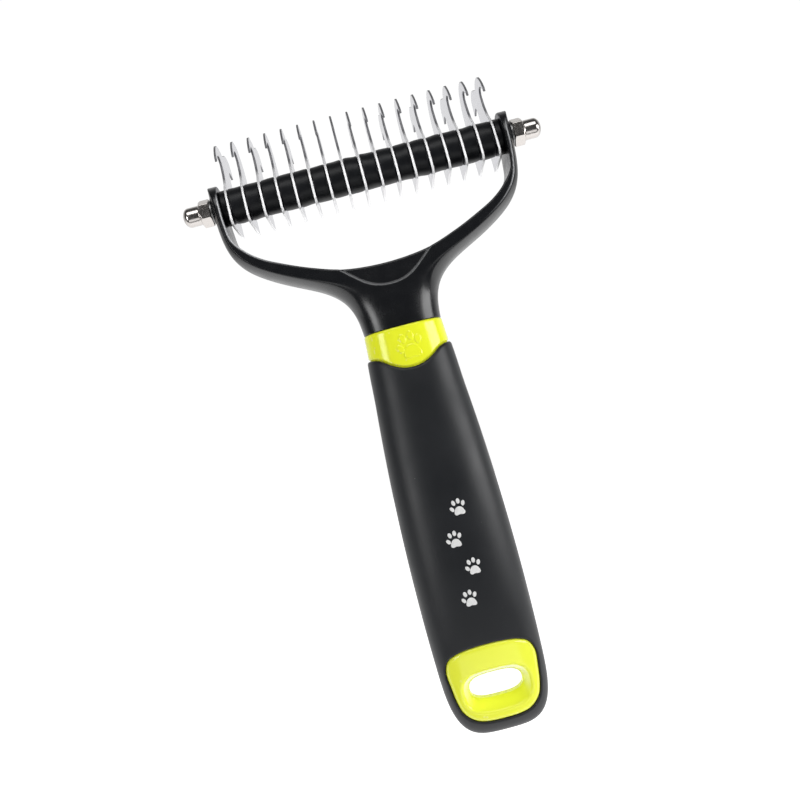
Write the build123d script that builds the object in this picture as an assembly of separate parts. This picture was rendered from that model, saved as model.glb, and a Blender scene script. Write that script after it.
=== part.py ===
"""Double-sided deshedding rake: forked yoke, handle, and a stack of hooked blades on a rod.

Frame, in mm: X runs along the blade rod, +Z runs up the handle to the blades, and -Y is the
front, where the closely spaced teeth are. The origin is the centre of the hanging slot.
"""

import math
import os

from build123d import *

# ---- blade stack -----------------------------------------------------------------------
ROD_Z = 151.0  # height of the rod's axis
BLADE_COUNT = 17
BLADE_PITCH = 4.86
BLADE_T = 0.7
SPACER_R = 5.05
ROD_SQUARE = 5.0  # square middle of the rod, which keys the blades
ROD_END_R = 1.95  # threaded round ends of the rod

# ---- yoke ------------------------------------------------------------------------------
ARM_INNER_X = 41.1  # inner face of an arm beside the stack
ARM_OUTER_X = 44.0
ARM_HALF_D = 8.0  # half the depth of the arms, front to back
ARM_BULGE = 1.7  # how far the rounded outer side stands out from its edges
ARM_EDGE_DEG = 61  # slope of the outer side where it leaves the flat front
SHOULDER_Z = 124.6  # height where the outline spreads fastest
SHOULDER_LOW, SHOULDER_HIGH = 7.8, 8.9  # how softly it turns below and above that
YOKE_SECTIONS, YOKE_SECTION_STEP = 20, 3.0
ARM_TOP_R = 8.0
ARM_TOP_Z = ROD_Z + 6.6
POCKET_DEPTH = 0.7  # pocket in each arm for the square of the rod
BOSS_R = 4.6
WEB_RECESS = 0.7
WEB_TOP_Z = 123.4
WEB_LOW_Z = 117.3
NECK_HALF_W = 11.25
NECK_HALF_D = 8.9
NECK_BULGE = 7.6
TANG_W, TANG_D, TANG_LOW_Z = 12.0, 7.0, 70.0
TANG_PIN_R, TANG_PIN_L, TANG_PIN_Z = 1.5, 15.0, 80.0

# ---- end hardware ----------------------------------------------------------------------
WASHER_T, WASHER_R, WASHER_BORE_R = 0.5, 3.4, 2.05
NUT_AF, NUT_HEX_H, NUT_TOTAL_H = 7.0, 3.2, 8.4
NUT_DOME_R, NUT_CAP_DEPTH = 2.8, 1.9
NUT_BORE_R, NUT_BORE_DEPTH = 2.0, 6.6

# ---- handle ----------------------------------------------------------------------------
COLLAR_TOP_Z = 105.1
COLLAR_SIDE_Z = 98.0  # lower edge of the collar at the sides
COLLAR_TONGUE_Z = 93.3  # lowest point of the collar, front and back
COLLAR_HALF_W, COLLAR_HALF_D = 11.5, 9.15
PAW_X, PAW_Z, PAW_RISE = 0.8, 97.6, 0.22
GRIP_WALL = 2.2
HANDLE_LOW_Z = -13.5
END_START_Z = 10.0  # where the sides begin to round into the lower end
INSERT_TOP_Z, INSERT_LOW_Z = 13.8, -9.0
SLOT_W, SLOT_H, SLOT_WALL = 15.4, 6.9, 2.6
DISH_W, DISH_H = 20.0, 12.8

os.makedirs("parts", exist_ok=True)


def save(solid, name):
    """Write one piece as its own STEP file."""
    export_step(solid, f"parts/{name}.step")


def oval(half_w, half_d, z, power=2.5, steps=20):
    """Horizontal superellipse, used for every section of the handle."""
    pts = []
    for i in range(steps):
        t = 2 * math.pi * (i + 0.5) / steps
        c, s = math.cos(t), math.sin(t)
        x = half_w * math.copysign(abs(c) ** (2 / power), c)
        y = half_d * math.copysign(abs(s) ** (2 / power), s)
        pts.append(Vector(x, y, z))
    return Face(Wire([Edge.make_spline(pts, periodic=True)]))


def slab(points, depth):
    """Outline in the XZ plane through smooth points, extruded both ways along Y."""
    with BuildSketch(Plane.XZ) as sk:
        with BuildLine():
            Spline(*points)
            Line(points[-1], points[0])
        make_face()
    return extrude(sk.sketch, amount=depth, both=True)


def block(x0, x1, y0, y1, z0, z1):
    """Axis-aligned box between two corners."""
    box = Box(x1 - x0, y1 - y0, z1 - z0)
    return Pos((x0 + x1) / 2, (y0 + y1) / 2, (z0 + z1) / 2) * box


def along_x(radius, x0, x1, z=ROD_Z):
    """Cylinder along X, centred on the rod's axis."""
    rod = Rot(0, 90, 0) * Cylinder(radius, abs(x1 - x0))
    return Pos((x0 + x1) / 2, 0, z) * rod


# ---- yoke ------------------------------------------------------------------------------
def yoke_section(half_w, bulge, half_d, edge_deg, z):
    """Horizontal section of the yoke: flat front and back, and two bulging sides.

    edge_deg is the slope of the side where it leaves the flat face: 0 rolls over smoothly,
    and a steep one leaves the crisp line that runs down the arms.
    """
    a = math.radians(edge_deg)
    out, back = Vector(math.cos(a), math.sin(a)), Vector(-math.cos(a), math.sin(a))
    flat = half_w - bulge
    right = [Vector(flat, -half_d), Vector(half_w, 0), Vector(flat, half_d)]
    left = [Vector(-flat, half_d), Vector(-half_w, 0), Vector(-flat, -half_d)]
    edges = [
        Edge.make_line(left[2], right[0]),
        Edge.make_spline(right, tangents=[out, back]),
        Edge.make_line(right[2], left[0]),
        Edge.make_spline(left, tangents=[out * -1, back * -1]),
    ]
    return Pos(0, 0, z) * Face(Wire(edges))


def yoke_half_width(z):
    """Outer half width of the yoke at a height: an S from the neck out to the arms."""
    middle, swing = (ARM_OUTER_X + NECK_HALF_W) / 2, (ARM_OUTER_X - NECK_HALF_W) / 2
    spread = SHOULDER_LOW if z < SHOULDER_Z else SHOULDER_HIGH
    return min(middle + 1.01 * swing * math.tanh((z - SHOULDER_Z) / spread), ARM_OUTER_X)


def ease(z, low, high):
    """0 below low, 1 above high, and a smooth step between."""
    t = max(0.0, min(1.0, (z - low) / (high - low)))
    return t * t * (3 - 2 * t)


def make_yoke():
    sections = []
    for i in range(YOKE_SECTIONS):
        z = COLLAR_TOP_Z - 1.5 + i * YOKE_SECTION_STEP
        bulge = NECK_BULGE + (ARM_BULGE - NECK_BULGE) * ease(z, 106, 140)
        half_d = NECK_HALF_D + (ARM_HALF_D - NECK_HALF_D) * ease(z, 104, 126)
        edge_deg = 4 + (ARM_EDGE_DEG - 4) * ease(z, 104, 136)
        sections.append(yoke_section(yoke_half_width(z), bulge, half_d, edge_deg, z))
    body = loft(sections)

    # rounded tops of the arms, seen from the side
    with BuildSketch(Plane.YZ) as side:
        with Locations((0, ARM_TOP_Z - ARM_TOP_R)):
            Circle(ARM_TOP_R)
        with Locations((0, (ARM_TOP_Z - ARM_TOP_R + 100) / 2)):
            Rectangle(2 * NECK_HALF_D + 1, ARM_TOP_Z - ARM_TOP_R - 100)
    body = body & extrude(side.sketch, amount=60, both=True)

    # window between the arms
    low = [(ARM_INNER_X, 145.0), (40.2, 140.2), (37.2, 136.2), (33.4, 133.1), (27.7, 130.15)]
    low += [(20.5, 127.1), (12.2, 124.5)]
    curve = low + [(0, WEB_TOP_Z)] + [(-x, z) for x, z in reversed(low)]
    with BuildSketch(Plane.XZ) as window:
        with BuildLine():
            Spline(*curve, tangents=[(0, -1), (0, 1)])
            Polyline(curve[-1], (-ARM_INNER_X, 170), (ARM_INNER_X, 170), curve[0])
        make_face()
    body = body - extrude(window.sketch, amount=30, both=True)

    # shallow recess of the web, front and back
    half = [(17.5, 128.0), (12.8, 124.4), (9.9, 121.8), (6.6, 119.2), (3.4, 117.8)]
    recess = slab(half + [(0, WEB_LOW_Z)] + [(-x, z) for x, z in reversed(half)], 30)
    core = block(-30, 30, WEB_RECESS - ARM_HALF_D, ARM_HALF_D - WEB_RECESS, 100, 140)
    body = body - (recess - core)

    # tang inside the handle
    body = body + block(-TANG_W / 2, TANG_W / 2, -TANG_D / 2, TANG_D / 2, TANG_LOW_Z, 108)
    body = body - block(-40, 40, -30, -TANG_D / 2, 90, COLLAR_TOP_Z)
    body = body - block(-40, 40, TANG_D / 2, 30, 90, COLLAR_TOP_Z)
    body = body - block(-40, -TANG_W / 2, -30, 30, 90, COLLAR_TOP_Z)
    body = body - block(TANG_W / 2, 40, -30, 30, 90, COLLAR_TOP_Z)
    pin_hole = Pos(0, 0, TANG_PIN_Z) * (Rot(90, 0, 0) * Cylinder(TANG_PIN_R, 40))
    body = body - pin_hole

    # bosses, holes and keyed pockets for the rod
    for side_sign in (-1, 1):
        body = body + along_x(BOSS_R, side_sign * (ARM_INNER_X + 0.6), side_sign * ARM_OUTER_X)
        body = body - along_x(BOSS_R + 0.4, side_sign * ARM_OUTER_X, side_sign * (ARM_OUTER_X + 3))
        body = body - along_x(ROD_END_R + 0.1, side_sign * 38, side_sign * 60)
        x0, x1 = sorted((side_sign * 38, side_sign * (ARM_INNER_X + POCKET_DEPTH)))
        h = ROD_SQUARE / 2
        body = body - block(x0, x1, -h, h, ROD_Z - h, ROD_Z + h)
    return body


# ---- handle ----------------------------------------------------------------------------
def round_end(z, power):
    """Factor that closes the handle's lower end: 1 well above it, 0 at the tip."""
    t = (END_START_Z - z) / (END_START_Z - HANDLE_LOW_Z)
    return 1.0 if t <= 0 else (1 - t**power) ** (1 / power)


def handle_sections(inset=0.0, low=-99.0):
    """Sections of the handle from its rounded end up to the collar, optionally inset.

    They stand close together at the end and spread out evenly above it.
    """
    sections = []
    for i in range(19):
        z = HANDLE_LOW_Z + 0.06 + 0.3 * i + 0.5615 * i**1.82
        half_w = (15.7 - 0.00074 * (z - 27) ** 2) * round_end(z, 3.8)
        fall = 0.00045 if z > 48 else 0.0011
        half_d = (10.9 - fall * (z - 48) ** 2) * round_end(z, 2.6)
        half_w += 0.35 * ease(z, 84, 98)  # slight flare below the collar
        if z >= low:
            sections.append(oval(half_w - inset, half_d - inset, z))
    return sections


def below_collar():
    """Everything below the collar's edge, which dips in a tongue at the front and back."""
    drop = COLLAR_SIDE_Z - COLLAR_TONGUE_Z
    half = [(15.0, COLLAR_SIDE_Z), (12.2, COLLAR_SIDE_Z - 0.05), (9.0, COLLAR_SIDE_Z - 0.17 * drop)]
    half += [(6.0, COLLAR_SIDE_Z - 0.6 * drop), (3.0, COLLAR_SIDE_Z - 0.91 * drop)]
    curve = half + [(0, COLLAR_TONGUE_Z)] + [(-x, z) for x, z in reversed(half)]
    with BuildSketch(Plane.XZ) as sk:
        with BuildLine():
            Spline(*curve)
            Polyline(curve[-1], (-30, COLLAR_SIDE_Z), (-30, -30), (30, -30), (30, COLLAR_SIDE_Z), curve[0])
        make_face()
    return extrude(sk.sketch, amount=30, both=True)


def insert_prism():
    """Outline of the hard end loop, seen from the front, run through the whole depth."""
    half = [(4.0, INSERT_TOP_Z - 0.15), (8.5, INSERT_TOP_Z - 0.95), (11.6, INSERT_TOP_Z - 2.7)]
    half += [(13.0, INSERT_TOP_Z - 6.0), (12.7, 2.8), (12.1, -1.6), (10.9, -5.2), (7.6, -8.1)]
    pts = [(0, INSERT_TOP_Z)] + half + [(0, INSERT_LOW_Z)] + [(-x, z) for x, z in reversed(half)]
    with BuildSketch(Plane.XZ) as sk:
        with BuildLine():
            Spline(*pts, periodic=True)
        make_face()
    return extrude(sk.sketch, amount=30, both=True)


def slot_outline(width, height, y):
    """Bowed, rounded rectangle of the hanging slot, standing in an XZ plane."""
    n = 24
    pts = []
    for i in range(n):
        t = 2 * math.pi * (i + 0.5) / n
        c, s = math.cos(t), math.sin(t)
        x = width / 2 * math.copysign(abs(c) ** 0.62, c)
        z = height / 2 * math.copysign(abs(s) ** 0.78, s)
        pts.append(Vector(x, y, z))
    return Face(Wire([Edge.make_spline(pts, periodic=True)]))


def paw():
    """Raised paw on the front of the collar: one pad and four toes."""
    skin = loft([
        oval(COLLAR_HALF_W + 0.45 + PAW_RISE, COLLAR_HALF_D + 0.2 + PAW_RISE, 90.0),
        oval(COLLAR_HALF_W + 0.3 + PAW_RISE, COLLAR_HALF_D + 0.1 + PAW_RISE, 98.0),
        oval(COLLAR_HALF_W - 0.1 + PAW_RISE, COLLAR_HALF_D - 0.05 + PAW_RISE, COLLAR_TOP_Z),
    ])
    with BuildSketch(Plane.XZ) as sk:
        with Locations((PAW_X, PAW_Z)):
            Ellipse(2.3, 1.6)
        with Locations((PAW_X - 0.9, PAW_Z - 0.7), (PAW_X + 0.9, PAW_Z - 0.7)):
            Circle(1.15)
        for angle, reach in ((152, 3.6), (110, 3.9), (76, 4.0), (40, 3.7)):
            a = math.radians(angle)
            with Locations(Location((PAW_X + reach * math.cos(a), PAW_Z + reach * math.sin(a)), angle)):
                Ellipse(1.15, 0.75)
    return skin & (Pos(0, -7, 0) * extrude(sk.sketch, amount=6))


def make_handle():
    outer = loft(handle_sections())
    inner = loft(handle_sections(GRIP_WALL, low=8.0))
    below = below_collar()
    prism = insert_prism()

    collar = loft([
        oval(COLLAR_HALF_W + 0.45, COLLAR_HALF_D + 0.2, 90.0),
        oval(COLLAR_HALF_W + 0.3, COLLAR_HALF_D + 0.1, 98.0),
        oval(COLLAR_HALF_W - 0.1, COLLAR_HALF_D - 0.05, COLLAR_TOP_Z),
    ])
    collar = collar - below
    filled = (inner & block(-20, 20, -20, 20, 8, 99.5)) + (prism & outer) + collar
    grip = (outer & below) - filled

    core = filled + paw() - slot_through() - tang_pocket()
    return core, grip


def slot_through():
    """Hanging slot with a sloping dish on both faces."""
    cut = extrude(slot_outline(SLOT_W, SLOT_H, -12), amount=24, dir=(0, 1, 0))
    for sign in (-1, 1):
        floor = slot_outline(SLOT_W, SLOT_H, sign * SLOT_WALL / 2)
        rim = slot_outline(DISH_W, DISH_H, sign * 9.2)
        cut = cut + loft([floor, rim])
    return cut


def tang_pocket():
    """Pocket for the yoke's tang, and the cross hole for its pin."""
    pocket = block(-TANG_W / 2, TANG_W / 2, -TANG_D / 2, TANG_D / 2, TANG_LOW_Z - 0.5, 110)
    pin_hole = Pos(0, 0, TANG_PIN_Z) * (Rot(90, 0, 0) * Cylinder(TANG_PIN_R, TANG_PIN_L))
    return pocket + pin_hole


# ---- blades, spacers, rod ---------------------------------------------------------------
def blade_profile(double):
    """Side view of a blade about the rod's centre: Y towards the back, Z up."""
    with BuildSketch(Plane.YZ) as sk:
        with BuildLine():
            # foot, which shows below the spacers
            Polyline((-6.3, -4.8), (-5.4, -6.2), (-4.4, -6.7), (9.6, -7.6), (10.2, -3.4))
            # front edge up to the hollow of the front claw, and out to the claw's tip
            Spline(
                (-6.3, -4.8), (-5.7, -1.0), (-5.0, 2.0), (-3.4, 4.6), (-0.9, 7.0), (1.1, 10.0), (1.7, 13.0),
                (0.7, 14.6), (-1.3, 14.8), (-3.4, 13.8), (-5.9, 11.9),
            )
            # back of the front claw
            Spline(
                (-5.9, 11.9), (-6.1, 12.9), (-5.2, 14.3), (-3.6, 16.0), (-0.8, 17.9), (2.6, 18.5),
                (5.6, 18.2), (7.4, 17.2),
            )
            if double:
                # rear claw, which reaches further out
                Spline(
                    (7.4, 17.2), (10.4, 18.1), (13.5, 19.0), (16.6, 19.0), (18.7, 17.8), (19.4, 15.4),
                    (19.4, 13.0),
                )
                Spline(
                    (19.4, 13.0), (16.6, 13.7), (14.2, 13.7), (12.7, 12.2), (12.0, 9.0), (10.8, 3.0),
                    (10.2, -3.4),
                )
            else:
                Spline((7.4, 17.2), (8.8, 15.4), (9.9, 13.4), (10.3, 10.4), (10.2, 4.0), (10.2, -3.4))
        make_face()
        Rectangle(ROD_SQUARE, ROD_SQUARE, mode=Mode.SUBTRACT)
    return sk.sketch


def make_blade(double):
    blade = extrude(blade_profile(double), amount=BLADE_T / 2, both=True)
    return Pos(0, 0, ROD_Z) * blade


def make_spacer(length):
    ring = Cylinder(SPACER_R, length) - Box(ROD_SQUARE, ROD_SQUARE, 2 * length)
    return Pos(0, 0, ROD_Z) * (Rot(0, 90, 0) * ring)


def make_rod():
    half = ARM_INNER_X + POCKET_DEPTH
    tip = ARM_OUTER_X + WASHER_T + NUT_BORE_DEPTH - 0.8
    rod = block(-half, half, -ROD_SQUARE / 2, ROD_SQUARE / 2, ROD_Z - ROD_SQUARE / 2, ROD_Z + ROD_SQUARE / 2)
    return rod + along_x(ROD_END_R, -tip, tip)


# ---- end hardware ----------------------------------------------------------------------
def make_washer():
    """Washer lying against the right arm."""
    x0, x1 = ARM_OUTER_X, ARM_OUTER_X + WASHER_T
    return along_x(WASHER_R, x0, x1) - along_x(WASHER_BORE_R, x0 - 1, x1 + 1)


def make_cap_nut():
    """Domed cap nut on the right end of the rod."""
    seat = ARM_OUTER_X + WASHER_T
    # one flat faces the front
    with BuildSketch(Plane.YZ) as hexagon:
        RegularPolygon(NUT_AF / 2, 6, major_radius=False, rotation=30)
    flats = extrude(hexagon.sketch, amount=NUT_HEX_H)
    # the turned chamfer that rounds the corners of the hexagon on both faces
    corner = NUT_AF / math.sqrt(3)
    with BuildSketch(Plane.XY) as turned:
        with BuildLine():
            Polyline(
                (0, 0), (0, corner - 0.35), (0.35, corner + 0.05), (NUT_HEX_H - 0.45, corner + 0.05),
                (NUT_HEX_H, corner - 0.75), (NUT_HEX_H, 0), (0, 0),
            )
        make_face()
    nut = flats & revolve(turned.sketch, axis=Axis.X)
    with BuildSketch(Plane.XY) as dome:
        with BuildLine():
            start = NUT_TOTAL_H - NUT_CAP_DEPTH
            Polyline((NUT_HEX_H - 0.5, 0), (NUT_HEX_H - 0.5, NUT_DOME_R), (start, NUT_DOME_R))
            EllipticalCenterArc(
                (start, 0), NUT_TOTAL_H - start, NUT_DOME_R, start_angle=0, arc_size=90
            )
            Line((NUT_TOTAL_H, 0), (NUT_HEX_H - 0.5, 0))
        make_face()
    nut = nut + revolve(dome.sketch, axis=Axis.X)
    nut = Pos(seat, 0, ROD_Z) * nut
    return nut - along_x(NUT_BORE_R, seat - 1, seat + NUT_BORE_DEPTH)


def to_left(solid):
    """The same piece at the other end of the rod."""
    return Rot(0, 0, 180) * solid


# ---- write every piece ------------------------------------------------------------------
save(make_yoke(), "yoke")
handle_core, grip = make_handle()
save(handle_core, "handle_core")
save(grip, "grip")
save(Pos(0, 0, TANG_PIN_Z) * (Rot(90, 0, 0) * Cylinder(TANG_PIN_R, TANG_PIN_L)), "tang_pin")
save(make_rod(), "blade_rod")

first_x = -BLADE_PITCH * (BLADE_COUNT - 1) / 2
for i in range(BLADE_COUNT):
    blade = make_blade(double=i % 2 == 0)
    save(Pos(first_x + i * BLADE_PITCH, 0, 0) * blade, f"blade_{i + 1:02d}")

gap = BLADE_PITCH - BLADE_T
end_gap = ARM_INNER_X + first_x - BLADE_T / 2
for i in range(BLADE_COUNT + 1):
    if i == 0:
        length, x = end_gap, -ARM_INNER_X + end_gap / 2
    elif i == BLADE_COUNT:
        length, x = end_gap, ARM_INNER_X - end_gap / 2
    else:
        length, x = gap, first_x + (i - 0.5) * BLADE_PITCH
    save(Pos(x, 0, 0) * make_spacer(length), f"spacer_{i + 1:02d}")

washer, cap_nut = make_washer(), make_cap_nut()
save(washer, "washer_right")
save(to_left(washer), "washer_left")
save(cap_nut, "cap_nut_right")
save(to_left(cap_nut), "cap_nut_left")
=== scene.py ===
"""Looks of the double-sided deshedding rake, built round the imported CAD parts."""

import math

import bpy
import numpy as np
from mathutils import Matrix, Vector
from mathutils.geometry import tessellate_polygon


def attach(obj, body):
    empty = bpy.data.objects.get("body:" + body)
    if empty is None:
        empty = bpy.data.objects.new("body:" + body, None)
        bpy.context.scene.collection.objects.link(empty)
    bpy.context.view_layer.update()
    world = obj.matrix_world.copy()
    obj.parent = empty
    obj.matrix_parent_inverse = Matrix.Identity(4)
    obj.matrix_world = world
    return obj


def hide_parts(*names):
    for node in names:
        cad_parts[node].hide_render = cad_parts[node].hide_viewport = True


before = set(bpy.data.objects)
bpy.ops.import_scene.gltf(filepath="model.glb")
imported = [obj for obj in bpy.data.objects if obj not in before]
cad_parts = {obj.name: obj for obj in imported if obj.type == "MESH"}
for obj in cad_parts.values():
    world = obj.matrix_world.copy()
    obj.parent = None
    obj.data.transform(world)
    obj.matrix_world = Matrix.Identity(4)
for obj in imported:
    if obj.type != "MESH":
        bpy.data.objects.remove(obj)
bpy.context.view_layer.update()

MM = 0.001
BODY = "tool"
scene = bpy.context.scene

# ---------------------------------------------------------------------------------------
# Sizes, in mm, in the row frame. They repeat the CAD's own driving sizes, apart from the
# recess in the web and the bosses round the rod, which are smaller here.
# ---------------------------------------------------------------------------------------
ROD_Z = 151.0
ARM_INNER_X, ARM_OUTER_X = 41.1, 44.0
ARM_HALF_D, NECK_HALF_D = 8.0, 8.9
ARM_BULGE, NECK_BULGE = 1.7, 7.6
NECK_HALF_W = 11.25
SHOULDER_Z, SHOULDER_LOW, SHOULDER_HIGH = 124.6, 7.8, 8.9  # height, and softness below and above
ARM_TOP_Z, ARM_TOP_R = 157.6, 8.0
WEB_RECESS, WEB_TOP_Z, WEB_LOW_Z = 0.45, 123.4, 117.3
COLLAR_TOP_Z, COLLAR_SIDE_Z, COLLAR_TONGUE_Z = 105.1, 98.0, 93.3
COLLAR_HALF_W, COLLAR_HALF_D = 11.5, 9.15
PAW_X, PAW_Z = 0.8, 97.6
TOES = ((160, 3.3), (117, 4.2), (86, 4.3), (52, 3.7))  # angle in degrees and reach from the pad
HANDLE_LOW_Z, END_START_Z = -13.5, 10.0
GRIP_HALF_W, GRIP_WIDEST_Z, GRIP_HALF_D, GRIP_DEEPEST_Z = 15.7, 27, 10.9, 48
INSERT_TOP_Z, INSERT_LOW_Z = 13.8, -9.0
SLOT_W, SLOT_H, DISH_W, DISH_H = 15.4, 6.9, 20.0, 12.8
PRINTS, PRINT_PITCH, PRINT_LOW_Z = 4, 8.4, 26.5
PRINT_X, PRINT_SWAY, PRINT_SCALE, PRINT_T = 0.5, 1.6, 0.62, 0.07
BLADES, BLADE_PITCH, BLADE_T = 17, 4.86, 0.7
EDGE_R, GRIND_W = 0.17, 0.4  # rounding of a blade's edge, and width of the grinding on its claws
ROD_SQUARE, ROD_HOLE_R, BOSS_R = 5.0, 2.05, 3.8
SPACER_R, SPACER_BORE_R, SPACER_ROUND = 5.05, 3.6, 0.45
WASHER_T = 0.5
NUT_SEAT = ARM_OUTER_X + WASHER_T
NUT_AF, NUT_HEX_H, NUT_TOTAL_H = 7.0, 3.2, 8.4
NUT_DOME_R, NUT_CAP_DEPTH = 2.8, 1.9
NUT_BORE_R, NUT_BORE_DEPTH = 2.0, 6.6


# ---------------------------------------------------------------------------------------
# Implicit shapes: negative inside, roughly a distance in mm near the surface
# ---------------------------------------------------------------------------------------
def ease(v, low, high):
    t = np.clip((v - low) / (high - low), 0, 1)
    return t * t * (3 - 2 * t)


def smax(a, b, k):
    """Intersection with a fillet of about k."""
    h = np.clip(k - np.abs(a - b), 0, None) / k
    return np.maximum(a, b) + h * h * k / 4


def smin(a, b, k):
    return -smax(-a, -b, k)


def oval(x, y, half_w, half_d, power=2.5):
    """Superellipse section, scaled by its own slope to be close to a distance."""
    u, v = np.abs(x) / half_w, np.abs(y) / half_d
    r = (u**power + v**power) ** (1 / power) + 1e-9
    gu = (u / r) ** (power - 1) / half_w
    gv = (v / r) ** (power - 1) / half_d
    return (r - 1) / np.sqrt(gu * gu + gv * gv + 1e-9)


class Outline:
    """Closed outline in two coordinates, kept as a fine grid of signed distances."""

    def __init__(self, points, step=0.1, margin=3.0):
        p = np.array(points, float)
        self.low = p.min(0) - margin
        self.step = step
        n = np.ceil((p.max(0) + margin - self.low) / step).astype(int) + 2
        gu = self.low[0] + step * np.arange(n[0])
        gv = self.low[1] + step * np.arange(n[1])
        u, v = np.meshgrid(gu, gv, indexing="ij")
        u, v = u.ravel(), v.ravel()
        best = np.full(u.shape, 1e9)
        inside = np.zeros(u.shape, bool)
        q = np.roll(p, -1, 0)
        for (au, av), (bu, bv) in zip(p, q):
            du, dv = bu - au, bv - av
            t = np.clip(((u - au) * du + (v - av) * dv) / (du * du + dv * dv + 1e-12), 0, 1)
            best = np.minimum(best, (u - au - t * du) ** 2 + (v - av - t * dv) ** 2)
            if av != bv:
                cross = (av > v) != (bv > v)
                inside ^= cross & (u < (bu - au) * (v - av) / (bv - av) + au)
        d = np.sqrt(best)
        self.grid = np.where(inside, -d, d).reshape(n[0], n[1])

    def __call__(self, u, v):
        i = np.clip((u - self.low[0]) / self.step, 0, self.grid.shape[0] - 1.001)
        j = np.clip((v - self.low[1]) / self.step, 0, self.grid.shape[1] - 1.001)
        i0, j0 = i.astype(int), j.astype(int)
        a, b = i - i0, j - j0
        g = self.grid
        return (
            g[i0, j0] * (1 - a) * (1 - b)
            + g[i0 + 1, j0] * a * (1 - b)
            + g[i0, j0 + 1] * (1 - a) * b
            + g[i0 + 1, j0 + 1] * a * b
        )


CURVE_STEPS = 14  # straight pieces between two points of a smooth curve


def smooth_curve(points, closed=False):
    """Catmull-Rom curve through points, centripetal so that it doesn't overshoot."""
    p = [np.array(q, float) for q in points]
    if closed:
        ext = [p[-1]] + p + [p[0], p[1]]
    else:
        ext = [2 * p[0] - p[1]] + p + [2 * p[-1] - p[-2]]
    out = []
    for i in range(1, len(ext) - 2):
        p0, p1, p2, p3 = ext[i - 1 : i + 3]
        t0 = 0.0
        t1 = t0 + math.sqrt(np.linalg.norm(p1 - p0)) + 1e-9
        t2 = t1 + math.sqrt(np.linalg.norm(p2 - p1)) + 1e-9
        t3 = t2 + math.sqrt(np.linalg.norm(p3 - p2)) + 1e-9
        for k in range(CURVE_STEPS):
            t = t1 + (t2 - t1) * k / CURVE_STEPS
            a1 = (t1 - t) / (t1 - t0) * p0 + (t - t0) / (t1 - t0) * p1
            a2 = (t2 - t) / (t2 - t1) * p1 + (t - t1) / (t2 - t1) * p2
            a3 = (t3 - t) / (t3 - t2) * p2 + (t - t2) / (t3 - t2) * p3
            b1 = (t2 - t) / (t2 - t0) * a1 + (t - t0) / (t2 - t0) * a2
            b2 = (t3 - t) / (t3 - t1) * a2 + (t - t1) / (t3 - t1) * a3
            out.append((t2 - t) / (t2 - t1) * b1 + (t - t1) / (t2 - t1) * b2)
    if not closed:
        out.append(p[-1])
    return [tuple(q) for q in out]


def mirrored(half, middle):
    return half + [middle] + [(-a, b) for a, b in reversed(half)]


NEWTON_ROUNDS = 4


def mesh_from_field(name, field, low, high, step):
    """Surface nets on a grid, then each vertex is drawn onto the exact surface."""
    axes = [np.arange(a, b + step, step) for a, b in zip(low, high)]
    x, y, z = np.meshgrid(*axes, indexing="ij")
    f = field(x, y, z)
    dims = f.shape
    cells = (dims[0] - 1, dims[1] - 1, dims[2] - 1)
    count = np.zeros(cells)
    total = np.zeros(cells + (3,))
    quads = []
    sign = f < 0
    for axis in range(3):
        first = [slice(None)] * 3
        second = [slice(None)] * 3
        first[axis], second[axis] = slice(0, -1), slice(1, None)
        a, b = f[tuple(first)], f[tuple(second)]
        hit = np.argwhere(sign[tuple(first)] != sign[tuple(second)])
        va, vb = a[tuple(hit.T)], b[tuple(hit.T)]
        t = va / (va - vb)
        point = hit.astype(float)
        point[:, axis] += t
        o1, o2 = [i for i in range(3) if i != axis]
        ring = []
        keep = np.ones(len(hit), bool)
        for s1, s2 in ((1, 1), (0, 1), (0, 0), (1, 0)):
            cell = hit.copy()
            cell[:, o1] -= s1
            cell[:, o2] -= s2
            ok = np.all((cell >= 0) & (cell < np.array(cells)), axis=1)
            keep &= ok
            c = cell[ok]
            np.add.at(count, tuple(c.T), 1)
            np.add.at(total, tuple(c.T), point[ok])
            ring.append(cell)
        ring = [np.ravel_multi_index(np.clip(c, 0, np.array(cells) - 1).T, cells) for c in ring]
        quad = np.stack(ring, 1)[keep]
        flip = (va[keep] < 0) if axis != 1 else (va[keep] >= 0)
        quad[flip] = quad[flip][:, ::-1]
        quads.append(quad[:, ::-1])
    used = count > 0
    index = np.full(count.size, -1)
    index[used.ravel()] = np.arange(used.sum())
    verts = total[used] / count[used][:, None]
    verts = verts * step + np.array([a[0] for a in axes])
    faces = index[np.concatenate(quads)]

    e = 0.02
    for _ in range(NEWTON_ROUNDS):
        px, py, pz = verts.T
        v = field(px, py, pz)
        g = np.stack(
            [
                field(px + e, py, pz) - field(px - e, py, pz),
                field(px, py + e, pz) - field(px, py - e, pz),
                field(px, py, pz + e) - field(px, py, pz - e),
            ],
            1,
        ) / (2 * e)
        size = (g * g).sum(1)
        move = g * (v / np.maximum(size, 0.05))[:, None]
        length = np.linalg.norm(move, axis=1)
        move *= np.minimum(1, 0.4 * step / np.maximum(length, 1e-9))[:, None]
        verts = verts - move
    return mesh_object(name, verts, faces)


def mesh_object(name, verts_mm, faces):
    mesh = bpy.data.meshes.new(name)
    verts = (np.array(verts_mm, float) * MM).astype(np.float32)
    faces = np.array(faces, np.int32)
    mesh.vertices.add(len(verts))
    mesh.vertices.foreach_set("co", verts.ravel())
    n, k = faces.shape
    mesh.loops.add(n * k)
    mesh.loops.foreach_set("vertex_index", faces.ravel())
    mesh.polygons.add(n)
    mesh.polygons.foreach_set("loop_start", np.arange(0, n * k, k, dtype=np.int32))
    mesh.polygons.foreach_set("use_smooth", np.ones(n, bool))
    mesh.update(calc_edges=True)
    mesh.validate()
    obj = bpy.data.objects.new(name, mesh)
    scene.collection.objects.link(obj)
    return obj


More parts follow.
